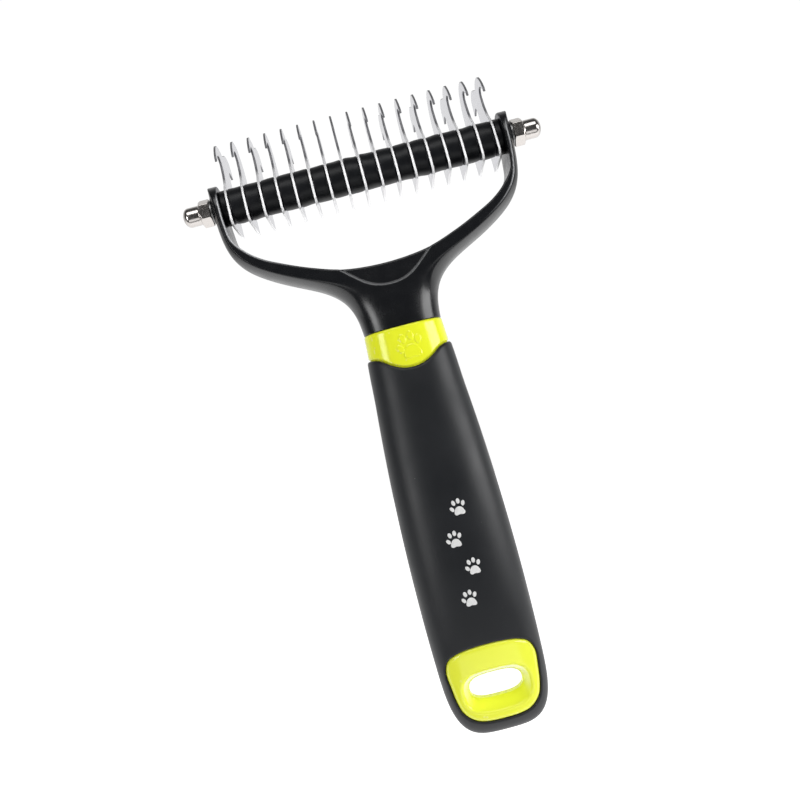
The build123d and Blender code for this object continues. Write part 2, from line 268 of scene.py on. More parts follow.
# ---------------------------------------------------------------------------------------
# Yoke
# ---------------------------------------------------------------------------------------
def yoke_half_width(z):
    middle, swing = (ARM_OUTER_X + NECK_HALF_W) / 2, (ARM_OUTER_X - NECK_HALF_W) / 2
    spread = SHOULDER_LOW + (SHOULDER_HIGH - SHOULDER_LOW) * ease(z, 120, 129)
    return np.minimum(middle + 1.01 * swing * np.tanh((z - SHOULDER_Z) / spread), ARM_OUTER_X)


WINDOW_LOW = [(40.95, 145.0), (40.2, 140.2), (37.2, 136.2), (33.4, 133.1), (27.7, 130.15)]
WINDOW_LOW += [(20.5, 127.1), (12.2, 124.5)]
window_outline = Outline(
    [(ARM_INNER_X, 168), (ARM_INNER_X, 150)]
    + smooth_curve(
        [(ARM_INNER_X, 147.5)] + mirrored(WINDOW_LOW, (0, WEB_TOP_Z)) + [(-ARM_INNER_X, 147.5)]
    )
    + [(-ARM_INNER_X, 150), (-ARM_INNER_X, 168)]
)
RECESS = [(17.5, 128.0), (12.8, 124.2), (9.9, 121.7), (6.6, 119.1), (3.4, 117.7)]
recess_outline = Outline(
    smooth_curve(mirrored(RECESS, (0, WEB_LOW_Z))) + [(-17.5, 135), (17.5, 135)]
)


def yoke_faces(x, y, z):
    """Distances to the yoke's flat front and back, and to its bulging outer sides."""
    half_d = NECK_HALF_D + (ARM_HALF_D - NECK_HALF_D) * ease(z, 104, 126)
    over = np.maximum(z - (ARM_TOP_Z - ARM_TOP_R), 0)
    half_d = half_d - WEB_RECESS * ease(-recess_outline(x, z), -0.1, 0.26)
    front = np.hypot(y, over) - half_d
    s = np.clip(np.abs(y) / np.maximum(half_d, 1), 0, 0.9995)
    t = ease(z, 102, 132)
    bulge = NECK_BULGE + (ARM_BULGE - NECK_BULGE) * ease(z, 106, 140)
    arc, round_side = s * s, 1 - np.sqrt(1 - s * s)
    shape = arc * t + round_side * (1 - t)
    slope = bulge / half_d * (2 * s * t + (1 - t) * s / np.sqrt(1 - s * s + 0.002))
    width = yoke_half_width(z)
    rise = (yoke_half_width(z + 0.2) - yoke_half_width(z - 0.2)) / 0.4
    return front, (np.abs(x) - (width - bulge * shape)) / np.sqrt(1 + slope * slope + rise * rise)


def yoke_field(x, y, z):
    front, side = yoke_faces(x, y, z)
    body = smax(front, side, 0.35 + 5.0 * (1 - ease(z, 106, 126)))
    boss = smax(np.hypot(y, z - ROD_Z) - BOSS_R, np.abs(x) - ARM_OUTER_X, 0.3)
    body = smin(body, smax(boss, ARM_INNER_X - np.abs(x), 0.2), 0.5)
    body = smax(body, -window_outline(x, z), 0.5)
    body = smax(body, ROD_HOLE_R - np.hypot(y, z - ROD_Z), 0.15)
    return smax(body, COLLAR_TOP_Z - z, 0.3)


def painted_highlight_strength(x, y, z):
    """Strength of the painted highlight lines: one down each arm, one round the web."""
    side = yoke_faces(x, y, z)[1]
    outer = np.exp(-(((side + 0.35) / 0.13) ** 2))
    inner = np.exp(-(((window_outline(x, z) - 0.15) / 0.16) ** 2))
    arm = np.where(x > 0, 0.6 * outer, 0.9 * inner) * ease(z, 127, 138) * (1 - ease(z, 150, 156))
    web = 0.22 * np.exp(-((recess_outline(x, z) / 0.17) ** 2))
    web = web * ease(window_outline(x, z), 0.1, 0.9)
    return np.maximum(arm, web) * ease(np.abs(y), 6.2, 7.2)


def dull_sides(x, y, z):
    """1 on the arms' outer sides, which reflect less than the front."""
    return ease(yoke_faces(x, y, z)[1], -0.3, -0.1) * ease(z, 125, 138)


# ---------------------------------------------------------------------------------------
# Handle
# ---------------------------------------------------------------------------------------
def round_end(z, power):
    t = np.clip((END_START_Z - z) / (END_START_Z - HANDLE_LOW_Z), 0, None)
    return np.clip(1 - t**power, 0.0001, 1) ** (1 / power)


def handle_skin(x, y, z):
    """Outer surface, widest and deepest at two heights and thinner away from them."""
    half_w = (GRIP_HALF_W - 0.00074 * (z - GRIP_WIDEST_Z) ** 2) * round_end(z, 3.8)
    half_w = half_w + 0.35 * ease(z, 84, 98)
    fall = np.where(z > GRIP_DEEPEST_Z, 0.00045, 0.0011)
    half_d = (GRIP_HALF_D - fall * (z - GRIP_DEEPEST_Z) ** 2) * round_end(z, 2.6)
    return oval(x, y, np.maximum(half_w, 0.2), np.maximum(half_d, 0.1))


def handle_field(x, y, z):
    """The skin closed at its lower end, as a distance also where the end turns under."""
    e = 0.05
    f = handle_skin(x, y, z)
    up = (handle_skin(x, y, z + e) - handle_skin(x, y, z - e)) / (2 * e)
    f = np.where(z < 8, f / np.sqrt(1 + np.clip(up, -30, 30) ** 2), f)
    return smax(f, HANDLE_LOW_Z + 0.05 - z, 0.6)


drop = COLLAR_SIDE_Z - COLLAR_TONGUE_Z
TONGUE = [(15.0, COLLAR_SIDE_Z), (12.2, COLLAR_SIDE_Z - 0.05), (9.0, COLLAR_SIDE_Z - 0.17 * drop)]
TONGUE += [(6.0, COLLAR_SIDE_Z - 0.6 * drop), (3.0, COLLAR_SIDE_Z - 0.91 * drop)]
tongue_curve = smooth_curve(mirrored(TONGUE, (0, COLLAR_TONGUE_Z)))
below_outline = Outline(
    [(25, COLLAR_SIDE_Z)] + tongue_curve + [(-25, COLLAR_SIDE_Z), (-25, 70), (25, 70)], margin=6
)
HALF = [(4.0, INSERT_TOP_Z - 0.15), (8.5, INSERT_TOP_Z - 0.95), (11.6, INSERT_TOP_Z - 2.7)]
HALF += [(13.0, INSERT_TOP_Z - 6.0), (12.7, 2.8), (12.1, -1.6), (10.9, -5.2), (7.6, -8.1)]
insert_outline = Outline(
    smooth_curve([(0, INSERT_TOP_Z)] + mirrored(HALF, (0, INSERT_LOW_Z)), closed=True), margin=8
)


def rounded_slot(width, height, sides=120):
    points = []
    for i in range(sides):
        t = 2 * math.pi * (i + 0.5) / sides
        c, s = math.cos(t), math.sin(t)
        x = width / 2 * math.copysign(abs(c) ** 0.62, c)
        points.append((x, height / 2 * math.copysign(abs(s) ** 0.78, s)))
    return points


slot_outline = Outline(rounded_slot(SLOT_W, SLOT_H), margin=8)
dish_outline = Outline(rounded_slot(DISH_W, DISH_H), margin=8)


def below_collar(x, z):
    return np.where(z < 72, z - COLLAR_TONGUE_Z, below_outline(x, np.maximum(z, 71)))


def grip_field(x, y, z):
    skin = handle_field(x, y, z)
    body = smax(skin, below_collar(x, z), 0.9)
    return smax(body, -insert_outline(x, z), 0.7)


def paw_distance(u, v):
    """Distance to a paw print, pad and four toes, about its pad's centre."""

    def spot(cx, cz, a, b, angle):
        c, s = math.cos(angle), math.sin(angle)
        p, q = (u - cx) * c + (v - cz) * s, -(u - cx) * s + (v - cz) * c
        return (np.sqrt((p / a) ** 2 + (q / b) ** 2) - 1) * min(a, b)

    pad = smin(spot(0, 0.25, 1.9, 1.6, 0), spot(-1.2, -0.8, 1.3, 1.05, 0.5), 0.9)
    d = smin(pad, spot(1.2, -0.8, 1.3, 1.05, -0.5), 0.9)
    for angle, reach in TOES:
        a = math.radians(angle)
        lean = math.radians(45 + angle / 2)
        d = np.minimum(d, spot(reach * math.cos(a), reach * math.sin(a), 1.25, 0.85, lean))
    return d


def paw_height(x, z):
    """0 to 1 over the raised pad and toes on the collar."""
    return ease(-paw_distance(x - PAW_X, z - PAW_Z), -0.14, 0.14)


def collar_field(x, y, z):
    up = (z - COLLAR_SIDE_Z) / (COLLAR_TOP_Z - COLLAR_SIDE_Z)
    half_w = COLLAR_HALF_W + 0.3 - 0.4 * up
    half_d = COLLAR_HALF_D + 0.1 - 0.15 * up
    skin = oval(x, y, half_w, half_d)
    skin = skin - 0.2 * np.where(y < 0, paw_height(x, z), 0)
    skin = skin + 0.45 * (1 - ease(below_collar(x, z), 0.0, 0.75))
    body = smax(skin, z - COLLAR_TOP_Z, 0.7)
    return smax(body, 88.0 - z, 0.3)


def print_field(x, y, z):
    """Four small paw prints walking up the front of the grip, a thin layer on its skin."""
    d = np.full(np.shape(x), 9.0)
    for i in range(PRINTS):
        cx = PRINT_X + (PRINT_SWAY if i % 2 else -PRINT_SWAY)
        cz = PRINT_LOW_Z + i * PRINT_PITCH
        u, v = (x - cx) / PRINT_SCALE, (z - cz) / PRINT_SCALE
        d = np.minimum(d, paw_distance(u, v) * PRINT_SCALE)
    skin = handle_skin(x, y, z)
    layer = np.maximum(skin - PRINT_T, -skin - 0.3)
    return smax(np.maximum(layer, y), d, 0.08)


def insert_field(x, y, z):
    skin = handle_field(x, y, z) + 0.1
    body = smax(skin, insert_outline(x, z) + 0.02, 1.1)
    deep = np.clip((np.abs(y) - 1.3) / 6.4, 0, 1) ** 0.8
    cut = slot_outline(x, z) * (1 - deep) + dish_outline(x, z) * deep
    return smax(body, -cut, 1.0)


def nut_field(x, y, z):
    """Domed cap nut on the right end, seated at NUT_SEAT, with one flat facing the front."""
    a = np.abs(x) - NUT_SEAT
    w = z - ROD_Z
    r = np.hypot(y, w)
    flats = np.full(np.shape(x), -9.0)
    for angle in (0, 60, 120):
        t = math.radians(angle)
        flats = smax(flats, np.abs(y * math.cos(t) + w * math.sin(t)) - NUT_AF / 2, 0.12)
    corner = NUT_AF / math.sqrt(3)
    chamfer = ((a - NUT_HEX_H) + 0.58 * (r - corner + 0.75)) / math.hypot(1, 0.58)
    seat_edge = (-a + 0.6 * (r - corner + 0.4)) / math.hypot(1, 0.6)
    hexagon = smax(smax(flats, a - NUT_HEX_H, 0.12), smax(chamfer, seat_edge, 0.1), 0.12)
    cap = NUT_TOTAL_H - NUT_CAP_DEPTH
    t = np.clip(a - cap, 0, None) / NUT_CAP_DEPTH
    egg = np.sqrt((r / NUT_DOME_R) ** 2 + t * t)
    slope = np.hypot(r / NUT_DOME_R**2, t / NUT_CAP_DEPTH) / np.maximum(egg, 0.2)
    dome = np.maximum((egg - 1) / np.maximum(slope, 0.2), 1.0 - a)
    body = smin(hexagon, dome, 0.35)
    return smax(smax(body, -a, 0.12), -smax(r - NUT_BORE_R, a - NUT_BORE_DEPTH, 0.2), 0.1)


# ---------------------------------------------------------------------------------------
# Blades: plates with rounded edges, whose hooks are ground thin
# ---------------------------------------------------------------------------------------
FOOT = [(-6.3, -4.8), (-5.4, -6.2), (-4.4, -6.7), (9.6, -7.6), (10.2, -3.4)]
FRONT_EDGE = [(-5.7, -1.0), (-5.0, 2.0), (-3.4, 4.6), (-0.9, 7.0), (1.1, 10.0), (1.7, 13.0)]
FRONT_EDGE += [(0.7, 14.6), (-1.3, 14.8), (-3.4, 13.8), (-5.9, 11.9)]
CLAW_BACK = [(-6.1, 12.9), (-5.2, 14.3), (-3.6, 16.0), (-0.8, 17.9), (2.6, 18.5), (5.6, 18.2)]
CLAW_BACK += [(7.4, 17.2)]
REAR_CLAW = [(10.4, 18.1), (13.5, 19.0), (16.6, 19.0), (18.7, 17.8), (19.4, 15.4), (19.4, 13.0)]
REAR_EDGE = [(16.6, 13.7), (14.2, 13.7), (12.7, 12.2), (12.0, 9.0), (10.8, 3.0), (10.2, -3.4)]
PLAIN_BACK = [(8.8, 15.4), (9.9, 13.4), (10.3, 10.4), (10.2, 4.0), (10.2, -3.4)]


def blade_outline(double):
    """Side view of a blade, as (y, z) points that run once round it."""
    curves = [FRONT_EDGE, CLAW_BACK] + ([REAR_CLAW, REAR_EDGE] if double else [PLAIN_BACK])
    points, start = [], FOOT[0]
    for curve in curves:
        points += smooth_curve([start] + curve)[:-1]
        start = curve[-1]
    points += FOOT[:0:-1]
    return [(y, z + ROD_Z) for y, z in points]


def resampled(loop, step):
    p = np.array(loop + loop[:1], float)
    length = np.concatenate([[0], np.cumsum(np.linalg.norm(np.diff(p, axis=0), axis=1))])
    n = int(round(length[-1] / step))
    at = np.linspace(0, length[-1], n, endpoint=False)
    return np.stack([np.interp(at, length, p[:, 0]), np.interp(at, length, p[:, 1])], 1)


def half_thickness(depth, z):
    """Half of the plate's thickness at a depth inside its outline."""
    r = EDGE_R
    body = BLADE_T / 2 - r + math.sqrt(r * r - (r - min(depth, r)) ** 2)
    ground = BLADE_T / 2 * (0.7 + 0.3 * min(depth, GRIND_W) / GRIND_W)
    share = ease(z, ROD_Z + 11.5, ROD_Z + 14)
    return body * (1 - share) + ground * share


NEAR_DEPTHS = (0.03, 0.08, EDGE_R)
FAR_DEPTHS = (0.28, GRIND_W, 0.6)


def rim_rings(rim):
    """The rim and copies of it drawn inwards, by its normals first and then by distance."""
    field = Outline(rim, step=0.06, margin=1.2)
    along = np.roll(rim, -1, 0) - np.roll(rim, 1, 0)
    inward = np.stack([-along[:, 1], along[:, 0]], 1) / np.linalg.norm(along, axis=1)[:, None]
    rings, e = [rim] + [rim + inward * depth for depth in NEAR_DEPTHS], 0.05
    for depth in FAR_DEPTHS:
        p = rings[-1].copy()
        for _ in range(6):
            gy = (field(p[:, 0] + e, p[:, 1]) - field(p[:, 0] - e, p[:, 1])) / (2 * e)
            gz = (field(p[:, 0], p[:, 1] + e) - field(p[:, 0], p[:, 1] - e)) / (2 * e)
            size = np.maximum(gy * gy + gz * gz, 0.3)
            move = np.clip((field(p[:, 0], p[:, 1]) + depth) / size, -0.1, 0.1)
            p[:, 0] -= gy * move
            p[:, 1] -= gz * move
        rings.append(p)
    return rings


def plate_shape(double):
    """Vertices (half thickness, y, z), faces, and masks of the matt edge, which has a painted
    highlight, and of the painted shade on the edge.
    """
    rim = resampled(blade_outline(double), 0.2)[::-1]
    rings, n = rim_rings(rim), len(rim)
    reach = ROD_SQUARE / 2
    corners = ((-reach, -reach), (-reach, reach), (reach, reach), (reach, -reach))
    hole = [(y, ROD_Z + z) for y, z in corners]
    verts, faces = [], []
    for side in (1, -1):
        base = len(verts)
        for p, depth in zip(rings, (0.0,) + NEAR_DEPTHS + FAR_DEPTHS):
            half = half_thickness(depth, p[:, 1])
            verts += [(side * h, y, z) for h, (y, z) in zip(half, p)]
        for k in range(len(rings) - 1):
            for i in range(n):
                a, b = base + k * n + i, base + k * n + (i + 1) % n
                quad = (a, b, b + n, a + n)
                faces.append(quad if side > 0 else quad[::-1])
        inner = base + (len(rings) - 1) * n
        hole_base = len(verts)
        verts += [(side * BLADE_T / 2, y, z) for y, z in hole]
        loops = [[Vector((y, z, 0)) for y, z in loop] for loop in (rings[-1], hole)]
        for tri in tessellate_polygon(loops):
            ids = [inner + i if i < n else hole_base + i - n for i in tri]
            (ay, az), (by, bz), (cy, cz) = [verts[i][1:] for i in ids]
            up = (by - ay) * (cz - az) - (bz - az) * (cy - ay) > 0
            faces.append(tuple(ids) if up == (side > 0) else tuple(ids[::-1]))
        if side > 0:
            right_hole = hole_base
    m = len(hole)
    for i in range(m):
        a, b = right_hole + i, right_hole + (i + 1) % m
        faces.append((a, b, b - right_hole + hole_base, a - right_hole + hole_base))
    half = len(verts) // 2
    for i in range(n):
        faces.append((i, i + half, (i + 1) % n + half, (i + 1) % n))
    verts = np.array(verts)
    # the matt rim also carries a painted highlight, and above the rings a painted shade
    matt_highlit = (np.arange(len(verts)) % half < len(NEAR_DEPTHS) * n).astype(float)
    edge_shade = matt_highlit * ease(verts[:, 2], ROD_Z + 6, ROD_Z + 9)
    return verts, faces, matt_highlit, edge_shade


def plate(name, shape, middle_x):
    verts, faces, matt_highlit, edge_shade = shape
    mesh = bpy.data.meshes.new(name)
    mesh.from_pydata([((x + middle_x) * MM, y * MM, z * MM) for x, y, z in verts], [], faces)
    mesh.attributes.new("matt_edge_with_highlight", "FLOAT", "POINT").data.foreach_set("value", matt_highlit)
    mesh.attributes.new("painted_shade_edge", "FLOAT", "POINT").data.foreach_set("value", edge_shade)
    mesh.validate()
    mesh.polygons.foreach_set("use_smooth", [True] * len(mesh.polygons))
    obj = bpy.data.objects.new(name, mesh)
    scene.collection.objects.link(obj)
    return obj


def spacer_ring(name, low_x, high_x, seed):
    """Spacer with rounded shoulders and the slight unevenness of moulded rubber."""
    chance = np.random.default_rng(seed)
    waves = [(k, 0.11 / k, *chance.uniform(0, 6.3, 2)) for k in (1, 2, 3, 5)]
    around, lean = 120, chance.uniform(-0.05, 0.05)
    middle, half = (low_x + high_x) / 2, (high_x - low_x) / 2
    profile = [(-half, SPACER_BORE_R)]
    for i in range(7):
        t = math.pi / 2 * i / 6
        x = -half + SPACER_ROUND * (1 - math.cos(t))
        profile.append((x, SPACER_R - SPACER_ROUND * (1 - math.sin(t))))
    inside = half - SPACER_ROUND
    profile += [(inside * v, SPACER_R) for v in (-0.6, -0.2, 0.2, 0.6)]
    profile += [(-x, r) for x, r in reversed(profile[:8])]
    verts = []
    for x, r in profile:
        for j in range(around):
            a = 2 * math.pi * j / around
            rough = sum(w * math.cos(k * a + p + (q - 3) * 0.5 * x) for k, w, p, q in waves)
            uneven = rough * 0.6 + lean * x + 0.05 * math.cos(x / half)
            full = r + uneven * (r - SPACER_BORE_R) / 1.4
            verts.append((middle + x, full * math.sin(a), ROD_Z + full * math.cos(a)))
    count = len(profile)
    faces = []
    for i in range(count):
        for j in range(around):
            a, b = i * around, (i + 1) % count * around
            k = (j + 1) % around
            faces.append((a + j, a + k, b + k, b + j))
    return mesh_object(name, verts, faces)


# ---------------------------------------------------------------------------------------
# Materials
# ---------------------------------------------------------------------------------------
def material(name, colour, roughness, metallic=0.0, specular=0.5):
    mat = bpy.data.materials.new(name)
    mat.use_nodes = True
    shader = mat.node_tree.nodes["Principled BSDF"]
    shader.inputs["Base Color"].default_value = (*colour, 1)
    shader.inputs["Roughness"].default_value = roughness
    shader.inputs["Metallic"].default_value = metallic
    shader.inputs["Specular IOR Level"].default_value = specular
    return mat, mat.node_tree.nodes, mat.node_tree.links, shader


def coords(nodes, links):
    """Position on the object, in mm."""
    tex = nodes.new("ShaderNodeTexCoord")
    mapping = nodes.new("ShaderNodeMapping")
    mapping.inputs["Scale"].default_value = (1 / MM,) * 3
    links.new(tex.outputs["Object"], mapping.inputs["Vector"])
    return mapping.outputs["Vector"]


def painted(nodes, name):
    """A value that the mesh carries on its vertices."""
    n = nodes.new("ShaderNodeAttribute")
    n.attribute_name = name
    return n.outputs["Fac"]


def noise(nodes, links, vector, scale, detail=4.0, rough=0.5):
    n = nodes.new("ShaderNodeTexNoise")
    n.inputs["Scale"].default_value = scale
    n.inputs["Detail"].default_value = detail
    n.inputs["Roughness"].default_value = rough
    links.new(vector, n.inputs["Vector"])
    return n.outputs["Fac"]


def remap(nodes, links, value, a, b, c, d):
    m = nodes.new("ShaderNodeMapRange")
    for key, v in zip(("From Min", "From Max", "To Min", "To Max"), (a, b, c, d)):
        m.inputs[key].default_value = v
    links.new(value, m.inputs["Value"])
    return m.outputs["Result"]


def bump(nodes, links, shader, height, strength, distance_mm):
    b = nodes.new("ShaderNodeBump")
    b.inputs["Strength"].default_value = strength
    b.inputs["Distance"].default_value = distance_mm * MM
    links.new(height, b.inputs["Height"])
    links.new(b.outputs["Normal"], shader.inputs["Normal"])


def arithmetic(nodes, links, operation, *values):
    """A Math node whose inputs are sockets or numbers."""
    n = nodes.new("ShaderNodeMath")
    n.operation = operation
    for i, value in enumerate(values):
        if isinstance(value, bpy.types.NodeSocket):
            links.new(value, n.inputs[i])
        else:
            n.inputs[i].default_value = value
    return n.outputs[0]


def mix_colour(nodes, links, fac, a, b):
    """From colour or socket a to colour b."""
    m = nodes.new("ShaderNodeMix")
    m.data_type = "RGBA"
    if isinstance(a, bpy.types.NodeSocket):
        links.new(a, m.inputs["A"])
    else:
        m.inputs["A"].default_value = (*a, 1)
    m.inputs["B"].default_value = (*b, 1)
    links.new(fac, m.inputs["Factor"])
    return m.outputs["Result"]


def black_plastic(name, roughness, specular=0.5):
    mat, nodes, links, shader = material(name, (0.006, 0.0065, 0.008), roughness, specular=specular)
    v = coords(nodes, links)
    low, high = roughness - 0.04, roughness + 0.05
    rough = remap(nodes, links, noise(nodes, links, v, 0.25), 0.3, 0.7, low, high)
    links.new(rough, shader.inputs["Roughness"])
    deep, light = (0.0045, 0.005, 0.0062), (0.0075, 0.0082, 0.0100)
    base = mix_colour(nodes, links, noise(nodes, links, v, 0.08), deep, light)
    links.new(base, shader.inputs["Base Color"])
    bump(nodes, links, shader, noise(nodes, links, v, 0.5, 2), 0.08, 0.06)
    return mat


def gloss_yoke():
    """Black plastic with thin painted highlight lines along the edges of the arms and the web."""
    mat = black_plastic("gloss_black_yoke", 0.24)
    nodes, links = mat.node_tree.nodes, mat.node_tree.links
    shader = nodes["Principled BSDF"]
    plain = shader.inputs["Base Color"].links[0].from_socket
    # painted highlight: pale grey is mixed into the base colour along the lines
    with_painted_highlights = mix_colour(nodes, links, painted(nodes, "painted_highlight_line"), plain, (0.75, 0.76, 0.78))
    links.new(with_painted_highlights, shader.inputs["Base Color"])
    level = remap(nodes, links, painted(nodes, "dull_side"), 0, 1, 0.5, 0.03)
    links.new(level, shader.inputs["Specular IOR Level"])
    return mat


def lime_plastic(name, pale):
    """Glossy lime, slightly see-through, with a painted highlight along its edges."""
    mat, nodes, links, shader = material(name, (0.74, 0.82, 0.03), 0.15)
    v = coords(nodes, links)
    deep, light = (0.84, 0.90, pale * 0.7), (0.90, 0.945, pale)
    body = mix_colour(nodes, links, noise(nodes, links, v, 0.09), deep, light)
    geometry = nodes.new("ShaderNodeNewGeometry")
    # painted highlight: where the mesh is pointy, at edges and round the paw, the colour is mixed
    # towards pale lime
    edge = remap(nodes, links, geometry.outputs["Pointiness"], 0.525, 0.58, 0, 0.5)
    links.new(mix_colour(nodes, links, edge, body, (0.96, 0.97, 0.35)), shader.inputs["Base Color"])
    rough = remap(nodes, links, noise(nodes, links, v, 0.3), 0.3, 0.7, 0.12, 0.2)
    links.new(rough, shader.inputs["Roughness"])
    bump(nodes, links, shader, noise(nodes, links, v, 0.35, 2), 0.06, 0.08)
    shader.inputs["Subsurface Weight"].default_value = 0.08
    shader.inputs["Subsurface Radius"].default_value = (0.0015, 0.0015, 0.0004)
    return mat


def soft_rubber():
    mat, nodes, links, shader = material("soft_rubber", (0.008, 0.009, 0.012), 0.42, specular=0.42)
    v = coords(nodes, links)
    fine = noise(nodes, links, v, 5.5, 3, 0.6)
    cloud = noise(nodes, links, v, 0.07, 3)
    links.new(remap(nodes, links, cloud, 0.3, 0.7, 0.38, 0.48), shader.inputs["Roughness"])
    base = mix_colour(nodes, links, cloud, (0.0060, 0.0070, 0.0090), (0.0092, 0.0106, 0.0132))
    # sparse dust, as small pale specks
    cells = nodes.new("ShaderNodeTexVoronoi")
    cells.inputs["Scale"].default_value = 0.42
    links.new(v, cells.inputs["Vector"])
    near = remap(nodes, links, cells.outputs["Distance"], 0.0, 0.075, 1, 0)
    split = nodes.new("ShaderNodeSeparateColor")
    links.new(cells.outputs["Color"], split.inputs["Color"])
    chosen = arithmetic(nodes, links, "GREATER_THAN", split.outputs["Red"], 0.80)
    specks = arithmetic(nodes, links, "MULTIPLY", near, chosen)
    faint = arithmetic(nodes, links, "MULTIPLY", specks, 0.35)
    dusty = mix_colour(nodes, links, faint, base, (0.30, 0.30, 0.31))
    links.new(dusty, shader.inputs["Base Color"])
    bump(nodes, links, shader, fine, 0.22, 0.03)
    return mat


def polished_steel():
    """Polished faces, and stamped edges that scatter the light, with a painted highlight on them
    and painted shade on them above the rings.
    """
    mat, nodes, links, shader = material("polished_steel", (0.72, 0.72, 0.755), 0.2, metallic=1.0)
    v = coords(nodes, links)
    stretch = nodes.new("ShaderNodeMapping")
    stretch.inputs["Scale"].default_value = (3.0, 0.35, 3.0)
    links.new(v, stretch.inputs["Vector"])
    lines = noise(nodes, links, stretch.outputs["Vector"], 2.2, 3)
    edge = painted(nodes, "matt_edge_with_highlight")
    brushed = remap(nodes, links, lines, 0.3, 0.7, 0.14, 0.24)
    rough = arithmetic(nodes, links, "MULTIPLY_ADD", edge, 0.32, brushed)
    links.new(rough, shader.inputs["Roughness"])
    links.new(remap(nodes, links, edge, 0, 1, 1.0, 0.55), shader.inputs["Metallic"])
    # painted highlight: the edges are near-white; painted shade: dark grey on them above the rings
    pale = mix_colour(nodes, links, edge, (0.72, 0.72, 0.755), (0.95, 0.95, 0.96))
    shaded = mix_colour(nodes, links, painted(nodes, "painted_shade_edge"), pale, (0.19, 0.19, 0.20))
    links.new(shaded, shader.inputs["Base Color"])
    bump(nodes, links, shader, lines, 0.05, 0.01)
    return mat


def bright_nickel():
    mat, nodes, links, shader = material("bright_nickel", (0.56, 0.53, 0.51), 0.2, metallic=1.0)
    v = coords(nodes, links)
    rough = remap(nodes, links, noise(nodes, links, v, 1.2, 3), 0.3, 0.7, 0.13, 0.25)
    links.new(rough, shader.inputs["Roughness"])
    bump(nodes, links, shader, noise(nodes, links, v, 3.0, 2), 0.08, 0.01)
    return mat


def plain_steel():
    mat, nodes, links, shader = material("plain_steel", (0.22, 0.22, 0.22), 0.35, metallic=1.0)
    v = coords(nodes, links)
    rough = remap(nodes, links, noise(nodes, links, v, 2.5, 3), 0.3, 0.7, 0.28, 0.45)
    links.new(rough, shader.inputs["Roughness"])
    return mat


def paint():
    mat, nodes, links, shader = material("paw_print_ink", (0.78, 0.78, 0.77), 0.45)
    patchy = noise(nodes, links, coords(nodes, links), 2.5, 3)
    worn = mix_colour(nodes, links, patchy, (0.62, 0.62, 0.62), (0.84, 0.84, 0.83))
    links.new(worn, shader.inputs["Base Color"])
    return mat


yoke_black = gloss_yoke()
ring_black = black_plastic("satin_black_rings", 0.36, 0.22)
lime = lime_plastic("lime_collar_plastic", 0.035)
pale_lime = lime_plastic("lime_loop_plastic", 0.075)
rubber = soft_rubber()
steel = polished_steel()
nickel = bright_nickel()
dull_steel = plain_steel()
ink = paint()


def give(obj, mat):
    obj.data.materials.clear()
    obj.data.materials.append(mat)


# ---------------------------------------------------------------------------------------
# Pieces
# ---------------------------------------------------------------------------------------
# grid of the grip's mesh, in mm; the other pieces take a share of it
fine = 0.32


def place(obj, mat, slot, *replaced):
    give(obj, mat)
    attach(obj, BODY)
    if replaced:
        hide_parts(*replaced)


yoke = mesh_from_field(
    "yoke_moulding", yoke_field, (-45, -9.6, 103.6), (45, 9.6, 158.6), fine * 0.85
)
place(yoke, yoke_black, "black_plastic", "yoke")
where = np.array([v.co for v in yoke.data.vertices]) / MM
# the strength of the painted highlight lines, and the lower gloss of the arms' sides, kept on the
# vertices
for key, share in (("painted_highlight_line", painted_highlight_strength), ("dull_side", dull_sides)):
    attribute = yoke.data.attributes.new(key, "FLOAT", "POINT")
    attribute.data.foreach_set("value", share(*where.T).astype(np.float32))
grip = mesh_from_field("grip_sleeve", grip_field, (-16.6, -11.8, -14.3), (16.6, 11.8, 99.2), fine)
place(grip, rubber, "grey_rubber", "grip")
collar = mesh_from_field(
    "collar_band", collar_field, (-12.8, -10.4, 87.0), (12.8, 10.4, 106.0), fine * 0.5
)
place(collar, lime, "lime_plastic", "handle_core")
loop = mesh_from_field(
    "end_loop", insert_field, (-14.2, -10.4, -10.6), (14.2, 10.4, 15.2), fine * 0.8
)
place(loop, pale_lime, "lime_plastic")

prints = mesh_from_field("paw_prints", print_field, (-6, -11.4, 22), (7, -10.0, 58), 0.14)
place(prints, ink, "grey_rubber")

for side, low_x, high_x in (("left", -53.6, -44.0), ("right", 44.0, 53.6)):
    low, high = (low_x, -4.9, ROD_Z - 4.9), (high_x, 4.9, ROD_Z + 4.9)
    nut = mesh_from_field(f"domed_nut_{side}", nut_field, low, high, fine * 0.5)
    give(nut, nickel)
    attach(nut, f"{side}_nut")
    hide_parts(f"cap_nut_{side}")

shapes = [plate_shape(True), plate_shape(False)]
edges = [-ARM_INNER_X]  # where each ring starts and ends along the rod
for i in range(BLADES):
    middle = (i - (BLADES - 1) / 2) * BLADE_PITCH
    edges += [middle - BLADE_T / 2, middle + BLADE_T / 2]
    tooth = plate(f"rake_blade_{i + 1:02d}", shapes[i % 2], middle)
    place(tooth, steel, "polished_steel", f"blade_{i + 1:02d}")
edges.append(ARM_INNER_X)
for i in range(BLADES + 1):
    ring = spacer_ring(f"rubber_ring_{i + 1:02d}", edges[2 * i], edges[2 * i + 1], i)
    place(ring, ring_black, "black_plastic", f"spacer_{i + 1:02d}")

# the washers, the rod and the pin stay as the CAD has them, with softened edges
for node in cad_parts.values():
    if node.hide_render:
        continue
    give(node, dull_steel)
    for p in node.data.polygons:
        p.use_smooth = True
    bevel = node.modifiers.new("soft edges", "BEVEL")
    bevel.width, bevel.segments = 0.08 * MM, 4
    bevel.limit_method, bevel.angle_limit = "ANGLE", math.radians(32)
    bevel.harden_normals = True

